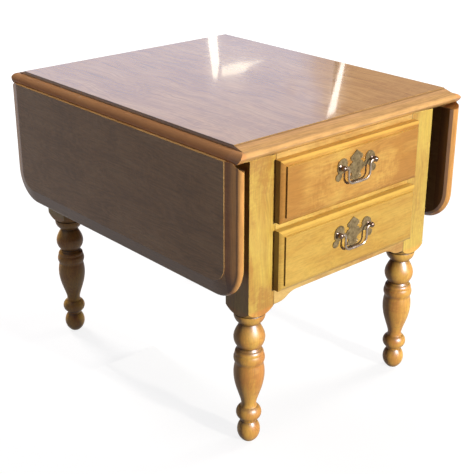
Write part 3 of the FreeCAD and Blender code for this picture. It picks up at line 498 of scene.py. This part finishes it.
# Corners across X and up Z on the plane of the cards, each card a step nearer than the one before
CARDS = {
    "sky_card": ([(-6.0, 1.5), (6.9, 1.5), (6.62, 4.2), (-6.0, 4.2)],
                 dict(colour=(0.64, 0.74, 1.03), strength=0.95,
                      fades=[(X, 1.6, 6.1, 6.6, (0.55, 0.48, 0.52)), (X, 1.6, 3.1, 1.6, DARK_SKY),
                             (Z, 0.3, 2.12, 1.72, DARK_SKY)])),
    "warm_card": ([(6.94, 2.2), (9.33, 2.5), (9.55, 3.87), (6.66, 3.64)],
                  dict(colour=(0.46, 0.3, 0.22), strength=1.0)),
    "streak_card": ([(6.89, 2.68), (6.95, 2.69), (6.82, 3.24), (6.68, 3.28)],
                    dict(colour=(1, 0.97, 0.93), strength=3.0)),
    "far_streak_card": ([(4.99, 2.05), (5.11, 2.05), (5.15, 2.44), (5.12, 2.58), (5.07, 2.57)],
                        dict(colour=(1, 0.98, 0.93), strength=2.6)),
    "patch_card": ([(5.18, 2.47), (5.42, 2.47), (5.77, 2.5), (5.55, 2.53), (5.47, 2.58), (5.18, 2.57)],
                   dict(colour=(1, 0.98, 0.92), strength=2.2)),
}
for step, (name, (corners, light)) in enumerate(CARDS.items()):
    nearer = 1 - CARD_STEP * step
    corners = [MIRRORED_EYE + (Vector((x, CARD_Y, z)) - MIRRORED_EYE) * nearer for x, z in corners]
    reflection_card(name, corners, **light)
reflection_card("side_card", [(-4.0, -1.5, 1.2), (-4.0, 3.5, 1.2), (-3.0, 3.5, 4.0), (-3.0, -1.5, 4.0)],
                colour=(0.8, 0.88, 1.0), strength=0.33)


# World and lamps

WORLD_FILL = (0.028, 0.022, 0.045)
FILL_COLOUR = (1.0, 0.96, 0.92)
AIM_HEIGHT = 0.35
LAMP_DISTANCE = 5.0

world = bpy.data.worlds.new("studio")
scene.world = world
world.use_nodes = True
sky = Nodes(world.node_tree)
seen_sky = sky.add("LightPath").outputs["Is Camera Ray"]
sky.feed(sky.tree.nodes["Background"].inputs["Color"], sky.mixed(seen_sky, WORLD_FILL, WHITE))


def round_table(turn, rise):
    """Place of a lamp, turned from the front of the table towards +X and raised."""
    turn, rise = math.radians(turn), math.radians(rise)
    return (LAMP_DISTANCE * math.sin(turn) * math.cos(rise), -LAMP_DISTANCE * math.cos(turn) * math.cos(rise),
            AIM_HEIGHT + LAMP_DISTANCE * math.sin(rise))


def area_light(name, place, size, power, colour, unseen="glossy"):
    """Square lamp at a place, turned to the middle of the table and unseen by one kind of ray."""
    lamp = bpy.data.lights.new(name, "AREA")
    lamp.size = size
    lamp.energy = power
    lamp.color = colour
    piece = bpy.data.objects.new(name, lamp)
    piece.location = place
    piece.rotation_euler = (Vector((0, 0, AIM_HEIGHT)) - Vector(place)).to_track_quat("-Z", "Y").to_euler()
    scene.collection.objects.link(piece)
    hide(piece, unseen)
    return piece


area_light("key", round_table(6, 10.5), 0.3, 282.0, (1.0, 0.95, 0.86))
glint = area_light("glint", round_table(8, 28), 1.8, 560.0, (1.0, 0.97, 1.1), unseen="diffuse")
area_light("overhead", (0, 0, 4.0), 8.0, 70.0, (1.0, 0.92, 1.08))
area_light("right_fill", round_table(80, 28), 1.5, 150.0, FILL_COLOUR)
area_light("back_fill", round_table(180, 30), 1.5, 200.0, FILL_COLOUR)

# The glint lights the legs and pulls alone, because on the top it would be a glare from behind
polished = bpy.data.collections.new("polished")
for name in LEGS + [f"{drawer}_pull_{part}" for drawer in DRAWERS for part in ("posts", "bail")]:
    polished.objects.link(nodes[name])
glint.light_linking.receiver_collection = polished

# Flag that keeps the key off the back left leg, seen only by shadows
flag = flat_mesh("flag", [(-0.235, 0.1, 0), (-0.115, 0.1, 0), (-0.115, 0.1, 0.29), (-0.235, 0.1, 0.29)],
                 glow_material("flag", (0, 0, 0), 0.0))
hide(flag, "camera", "diffuse", "glossy", "transmission")


# Camera

TURN, TILT, ROLL = (math.radians(angle) for angle in (-41.8, 23.18, 0.2))

camera = bpy.data.cameras.new("camera")
camera.lens = 78.007
camera.sensor_width = 36
back = Vector((math.sin(TURN) * math.cos(TILT), -math.cos(TURN) * math.cos(TILT), math.sin(TILT)))
right = (-back).cross(Vector((0, 0, 1))).normalized()
up = right.cross(-back)
level = right * math.cos(ROLL) + up * math.sin(ROLL)
upright = up * math.cos(ROLL) - right * math.sin(ROLL)
viewer = bpy.data.objects.new("camera", camera)
viewer.matrix_world = Matrix((
    (level.x, upright.x, back.x, EYE.x),
    (level.y, upright.y, back.y, EYE.y),
    (level.z, upright.z, back.z, EYE.z),
    (0, 0, 0, 1)))
scene.collection.objects.link(viewer)
scene.camera = viewer
scene.view_settings.view_transform = "Standard"
